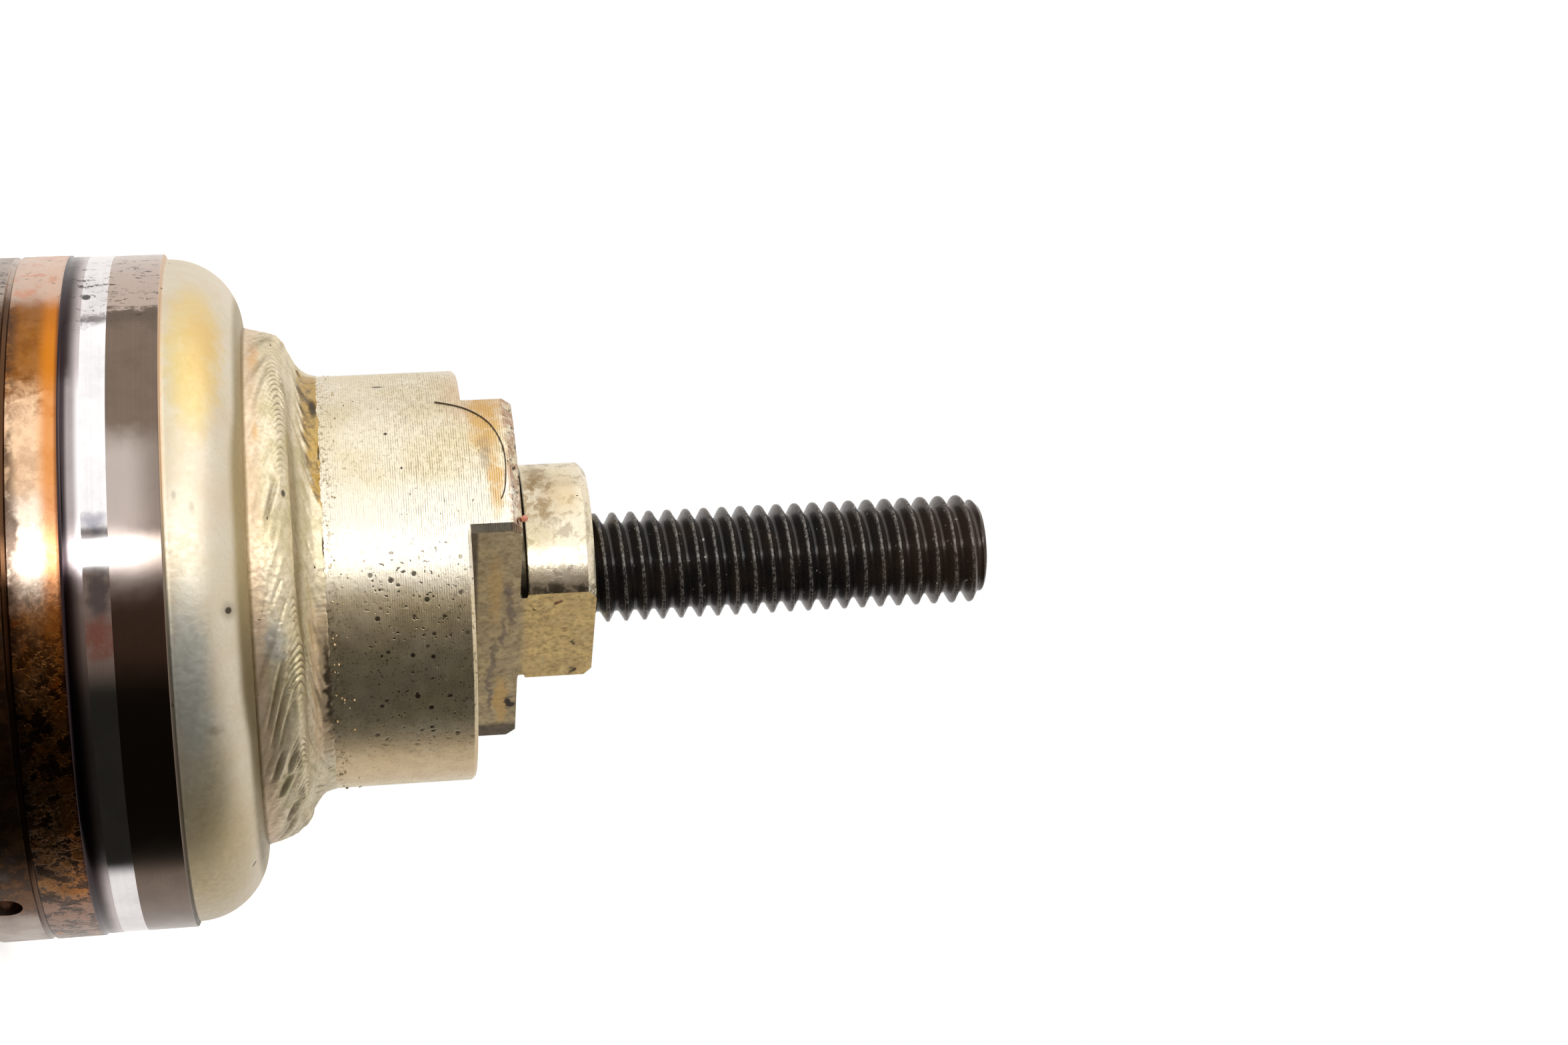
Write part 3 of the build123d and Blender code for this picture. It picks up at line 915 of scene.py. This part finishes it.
# Single furrows: (angle and share across at the start, the same at the end, half width and depth in mm)
FRONT_FURROWS = [
    (-15, 0.315, -32, 0.11, 0.12, 0.15), (-21.5, 0.335, -36.3, 0.14, 0.12, 0.15),
    (-26, 0.36, -40, 0.19, 0.05, 0.03), (-37, 0.27, -46, 0.125, 0.13, 0.15),
    (-38.2, 0.394, -44.9, 0.288, 0.1, 0.11), (-45.3, 0.31, -51.9, 0.186, 0.13, 0.14),
    (-56.2, 0.381, -65.2, 0.24, 0.15, 0.18), (2.0, 0.34, -5.0, 0.2, 0.09, 0.07),
    (-2.0, 0.4, -9.0, 0.27, 0.08, 0.06), (24.5, 0.36, 14.0, 0.2, 0.09, 0.08), (58, 0.3, 40, 0.1, 0.1, 0.08),
    (64, 0.3, 50, 0.09, 0.12, 0.09), (36, 0.36, 25, 0.18, 0.06, 0.03), (45, 0.34, 33, 0.16, 0.06, 0.03),
    (14, 0.36, 4, 0.2, 0.07, 0.03), (66, 0.68, 56, 0.86, 0.09, 0.07), (60, 0.68, 49, 0.88, 0.09, 0.08),
    (54, 0.68, 43, 0.89, 0.08, 0.08), (48, 0.7, 37, 0.91, 0.09, 0.09), (42, 0.72, 31, 0.92, 0.09, 0.08),
    (35, 0.74, 26, 0.93, 0.08, 0.06), (26, 0.7, 14, 0.9, 0.07, 0.04), (17, 0.7, 4, 0.9, 0.07, 0.04),
    (9, 0.7, -6, 0.88, 0.07, 0.04), (2, 0.69, -14, 0.86, 0.07, 0.04), (-6, 0.66, -26, 0.86, 0.07, 0.05),
    (-14, 0.66, -36, 0.88, 0.08, 0.05), (-22, 0.64, -44, 0.86, 0.07, 0.05),
    (-34, 0.62, -54, 0.84, 0.08, 0.05), (-46, 0.62, -62, 0.84, 0.08, 0.06),
]
# The hollow beside the tips: (angle, share across) and (angle, half width as a share)
GULLY_LINE = [
    (-180, 0.64), (-60, 0.65), (-16, 0.66), (-9, 0.645), (3, 0.625), (21, 0.63), (29, 0.6), (47, 0.585),
    (180, 0.62),
]
GULLY_WIDTH = [(-180, 0.05), (-20, 0.04), (-10, 0.06), (3, 0.085), (20, 0.085), (45, 0.055), (180, 0.06)]
# Where the browned part of the toe begins across the bead: (angle, share)
BROWN_EDGE = [
    (19, 0.97), (25, 0.88), (32, 0.83), (42.7, 0.8), (58.4, 0.74), (74, 0.7), (80, 0.97), (112, 0.97),
    (120, 0.84), (150, 0.76), (158, 0.97), (180, 0.97),
]


def grain_noise(k, salt):
    """A repeatable number from 0 to 1 for grain k."""
    value = sin(k * 12.9898 + salt * 78.233) * 43758.5453
    return value - floor(value)


def interpolate(table, x):
    for (x0, y0), (x1, y1) in zip(table, table[1:]):
        if x <= x1:
            return y0 + (y1 - y0) * (x - x0) / (x1 - x0)
    return table[-1][1]


def bell(x, middle, half):
    return 1.0 / (1.0 + ((x - middle) / half) ** 4)


def ease(x, low, high):
    """0 at low, 1 at high and smooth between them."""
    u = min(max((x - low) / (high - low), 0.0), 1.0)
    return u * u * (3 - 2 * u)


def all_furrows():
    """Every furrow as (along, offset, along, offset, half width, depth), in mm on the bead's surface."""
    furrows = list(FRONT_FURROWS)
    for k in range(BACK_FURROWS):
        start = (76 + 6.0 * k + 3 * grain_noise(k, 4) + 180) % 360 - 180
        length = 7 + 8 * grain_noise(k, 5)
        depth = 0.05 + 0.09 * grain_noise(k, 6)
        if start - length > -178:
            share = 0.28 + 0.12 * grain_noise(k, 7)
            furrows.append((start, share, start - length, share - 0.0145 * length, 0.11, depth))
            furrows.append((start, 0.68, start - 0.8 * length, 0.68 + 0.016 * length, 0.08, 0.7 * depth))
    return [(radians(a) * BEAD_RADIUS, t * BEAD_GIRTH, radians(b) * BEAD_RADIUS, u * BEAD_GIRTH, half, depth)
            for a, t, b, u, half, depth in furrows]


def furrow_cut(along, offset, furrows):
    """How deep the furrows lie here, and how high the lips beside them stand, in mm."""
    cut = lip = 0.0
    for a0, o0, a1, o1, half, depth in furrows:
        da, do = a1 - a0, o1 - o0
        length = hypot(da, do)
        share = ((along - a0) * da + (offset - o0) * do) / length**2
        if 0.0 < share < 1.0:
            beside = ((along - a0) * do - (offset - o0) * da) / (length * half)
            deep = depth * sin(pi * share) ** 0.6
            cut = max(cut, deep * exp(-beside * beside))
            lip = max(lip, 0.55 * deep * exp(-((beside - 1.9) ** 2)))
    return cut, lip


def weld_relief(angle, t, swing, r, z, furrows):
    """Height over the bead's plain outline in mm, how much painted shade its furrows and hollows get here,
    and how brown it is.
    """
    along = radians(angle) * BEAD_RADIUS
    across = (t - interpolate(TIP_LINE, angle)) * BEAD_GIRTH
    from_tip = hypot(across, TIP_ROUNDING) - TIP_ROUNDING
    bend = along + RIPPLE_LEAN * from_tip
    clear = max(strength * bell(angle, middle, half) for middle, half, strength in CLEAR_RIPPLES)
    tip = clear * bell(across, 0.0, 0.52 + 0.28 * bell(angle, -20, 10))
    wobble = noise.noise(swing * 9.0) * 0.8
    flatter = 1.1 * bell(angle, -20, 12) * from_tip
    ripple = abs(sin(pi * ((bend - flatter) / RIPPLE_SPACING + wobble))) - 0.60
    side = 1.0 if across > 0 else -1.0
    seam = 1.0 - bell(abs(angle), 180, 5)
    streak = seam * noise.fractal(Vector((bend * 0.9, across * 0.5, side * 7.0)), 0.85, 2.2, 3)
    away = 1.0 - bell(across, 0.0, 0.25)
    cut, lip = furrow_cut(along, t * BEAD_GIRTH, furrows)
    broad = noise.noise(swing * 5.4 + Vector((0, 0, z * 0.5)))
    grain = noise.fractal(Vector((swing.x * r, swing.y * r, z)) * 2.4, 0.9, 2.0, 3)
    gully = max(bell(angle, 8, 38), 0.8 * bell(angle, -115, 36), 0.8 * bell(angle, 135, 34))
    gully *= bell(t, interpolate(GULLY_LINE, angle), interpolate(GULLY_WIDTH, angle))
    ridge = 0.07 + 0.09 * bell(angle, -22, 10) + 0.06 * bell(angle, -47, 10) + 0.05 * bell(angle, 140, 30)
    body = sin(pi * min(max(t, 0.0), 1.0)) ** 0.5
    height = RIPPLE_HEIGHT * tip * ripple + STREAK_HEIGHT * away * streak - cut + lip
    crown = ridge * bell(across, 0.0, 0.5)
    height += GRAIN_HEIGHT * grain + SWELL_HEIGHT * broad - GULLY_DEPTH * gully + crown
    # Painted shade for the colour: how dark the ripples, streaks, hollow and furrows are laid.
    in_ripple = 3.4 * tip * max(0.0, -ripple - 0.12)
    in_streak = away * max(0.0, -streak - 0.10) * 0.85
    furrow = max(in_ripple, in_streak, 0.85 * gully, 6.5 * cut)
    edge = interpolate(BROWN_EDGE, angle) + 0.05 * noise.noise(Vector((bend * 1.6, 0, 3.0)))
    return body * height, min(1.0, furrow) * min(1.0, 1.6 * body), ease(t, edge, edge + 0.04)


def make_weld(material):
    outline = spread(WELD_OUTLINE, BEAD_ROWS)
    outwards = []
    for k in range(BEAD_ROWS):
        before, after = outline[max(k - 1, 0)], outline[min(k + 1, BEAD_ROWS - 1)]
        outwards.append(Vector((after[1] - before[1], before[0] - after[0])).normalized())
    furrows = all_furrows()
    bm = bmesh.new()
    # The furrow layer holds the painted shade for the furrows and hollows.
    furrow = bm.verts.layers.float.new("furrow")
    browned = bm.verts.layers.float.new("browned")
    columns = []
    for i in range(BEAD_COLUMNS):
        angle = 360.0 * i / BEAD_COLUMNS - 180.0
        swing = heading(angle)
        edge = noise.noise(swing * 26.0) * 0.10 + noise.noise(swing * 60.0) * 0.05
        along = radians(angle) * BEAD_RADIUS
        near = [f for f in furrows if f[2] - 0.6 < along < f[0] + 0.6]
        column = []
        for k, (r, z) in enumerate(outline):
            t = k / (BEAD_ROWS - 1)
            height, depth, brown = weld_relief(angle, t, swing, r, z, near)
            level = z + outwards[k].y * height + edge * t**9
            vert = bm.verts.new((swing * (r + outwards[k].x * height) + Vector((0, 0, level))) * MM)
            vert[furrow] = depth
            vert[browned] = brown
            column.append(vert)
        for r, z in ((WELD_ROOT_R, 17.85), (WELD_ROOT_R, WELD_FOOT)):
            column.append(bm.verts.new((swing * r + Vector((0, 0, z))) * MM))
        columns.append(column)
    for here, there in zip(columns, columns[1:] + columns[:1]):
        size = len(here)
        for k in range(size):
            n = (k + 1) % size
            bm.faces.new((here[k], here[n], there[n], there[k]))
    return finish_mesh("weld_bead_dressed", bm, [material], 60)


def thread_profile():
    """(share of the pitch, radius) across one turn of the thread, root to root."""
    half = [(0.0, 2.372), (0.055, 2.378), (0.10, 2.40), (0.145, 2.455), (0.29, 2.706),
            (0.415, 2.922), (0.435, 2.942), (0.455, CREST_R)]
    return half + [(1 - u, r) for u, r in reversed(half)][:-1]


THREAD_STEPS = 72             # round one turn


def make_stud(material):
    start, stop = THREAD_START - PITCH, STUD_TIP + 1.5 * PITCH
    profile = thread_profile()
    turns = int((stop - start) / PITCH)
    bm = bmesh.new()
    rows = []
    for i in range(turns * THREAD_STEPS + 1):
        a = 2 * pi * i / THREAD_STEPS
        row = []
        for u, r in profile + [(1.0, profile[0][1])]:
            z = start + PITCH * (i / THREAD_STEPS + u - 0.5)
            reach = min(r, max(0.4, CREST_R - TIP_CHAMFER + (STUD_TIP - z)))
            row.append(bm.verts.new(Vector((reach * cos(a), reach * sin(a), z)) * MM))
        rows.append(row)
    for low, high in zip(rows, rows[1:]):
        for k in range(len(low) - 1):
            bm.faces.new((low[k], high[k], high[k + 1], low[k + 1]))
    bmesh.ops.remove_doubles(bm, verts=bm.verts, dist=2 * JOIN_DISTANCE)
    for height, keep_above in ((SPIGOT_END - 0.02, True), (STUD_TIP, False)):
        cut = bmesh.ops.bisect_plane(
            bm, geom=bm.verts[:] + bm.edges[:] + bm.faces[:], plane_co=(0, 0, height * MM), plane_no=ALONG,
            clear_inner=keep_above, clear_outer=not keep_above,
        )
        edges = [e for e in cut["geom_cut"] if isinstance(e, bmesh.types.BMEdge)]
        bmesh.ops.contextual_create(bm, geom=edges)
    return finish_mesh("threaded_stud_dressed", bm, [material], 50)


# Dirt on the surface
DROP_RADIUS = 0.18
FIBRE_RADIUS = 0.034
SPATTER_GRAINS = 150


def make_droplet():
    m = Finish("oil_drop", Transmission_Weight=0.35, IOR=1.45)
    shade = m.noise(m.p, 6.0, 2.0)
    tint = m.mix(shade, 0xCE785C, 0xECA88E)
    m.set(Base_Color=tint, Roughness=m.remap(shade, 0.3, 0.7, 0.08, 0.16))
    centre = at(15.3, 10.60, 27.92)
    bm = bmesh.new()
    bmesh.ops.create_uvsphere(bm, u_segments=32, v_segments=20, radius=DROP_RADIUS * MM)
    for v in bm.verts:
        v.co = v.co * (1 + 0.10 * noise.noise(v.co / MM * 6)) + centre
    return finish_mesh("oil_drop", bm, [m.material], 80)


FIBRE_ROUTE = [
    (55.5, 23.88), (53.4, 25.0), (49.3, 25.95), (44.7, 26.62), (38.4, 27.05), (33.2, 27.18), (27.0, 27.13),
    (22.1, 26.99), (20.6, 26.8),
]


def make_fibre():
    m = Finish("lint", Roughness=0.7)
    tone = m.noise(m.p, 3.0, 2.0)
    m.set(Base_Color=m.mix(tone, 0x342A1E, 0x605038))
    points = [at(angle, BOSS_R + 0.035, height) for angle, height in FIBRE_ROUTE]
    curve = bpy.data.curves.new("lint_route", "CURVE")
    curve.dimensions = "3D"
    spline = curve.splines.new("NURBS")
    spline.points.add(len(points) - 1)
    for target, p in zip(spline.points, points):
        target.co = (*p, 1.0)
    spline.order_u = 3
    spline.use_endpoint_u = True
    curve.bevel_depth = FIBRE_RADIUS * MM
    curve.bevel_resolution = 3
    curve.resolution_u = 8
    curve.use_fill_caps = True
    guide = add_object("lint_route", curve)
    mesh = evaluated_mesh(guide)
    bpy.data.objects.remove(guide)
    mesh.materials.clear()
    mesh.materials.append(m.material)
    mesh.shade_smooth()
    return add_object("lint_fibre", mesh)


def make_spatter(material):
    """Grains of weld spatter stuck to the boss close to the toe of the bead."""
    bm = bmesh.new()
    for k in range(SPATTER_GRAINS):
        angle = 360 * grain_noise(k, 1)
        height = 18.1 + 1.1 * grain_noise(k, 2) ** 2.2
        size = 0.03 + 0.05 * grain_noise(k, 3) ** 2
        place = at(angle, BOSS_R + size * 0.2, height)
        made = bmesh.ops.create_icosphere(bm, subdivisions=2, radius=size * MM)
        for v in made["verts"]:
            v.co = v.co * (1 + 0.25 * noise.noise(v.co / MM * 9 + Vector((k, 0, 0)))) + place
    return finish_mesh("weld_spatter", bm, [material], 60)


# The scene

def dress(piece, slot, *nodes):
    if nodes:
        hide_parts(*nodes)
    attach(piece, "root")


bpy.context.scene.view_settings.view_transform = "Standard"
add_camera()
add_world()
add_floor()
add_area(
    "large_soft_light", angle=62.0, distance=0.50, height=0.20, width=0.84, length=0.90, power=2.85,
    colour=(1.0, 0.985, 0.96),
)
add_area("narrow_light", angle=14.0, distance=0.50, height=0.10, width=0.060, length=1.00, power=1.75)

weld_finish = make_weld_finish()
barrel_finishes = [
    make_collar_steel(), make_rust(), make_groove_steel(), make_track_steel(), make_ground_steel(),
    make_shoulder_plating(),
]
boss_finishes = [make_boss_plating(), make_flat_plating(), make_spigot_plating(), make_hole_steel()]
dress(make_barrel(barrel_finishes), "bare_steel", "barrel")
dress(make_boss(boss_finishes), "plated_steel", "drive_boss")
dress(make_weld(weld_finish), "plated_weld", "weld_bead")
dress(make_stud(make_black_oxide()), "black_oxide", "threaded_stud")
dress(make_droplet(), "plated_steel")
dress(make_fibre(), "plated_steel")
dress(make_spatter(weld_finish), "plated_weld")
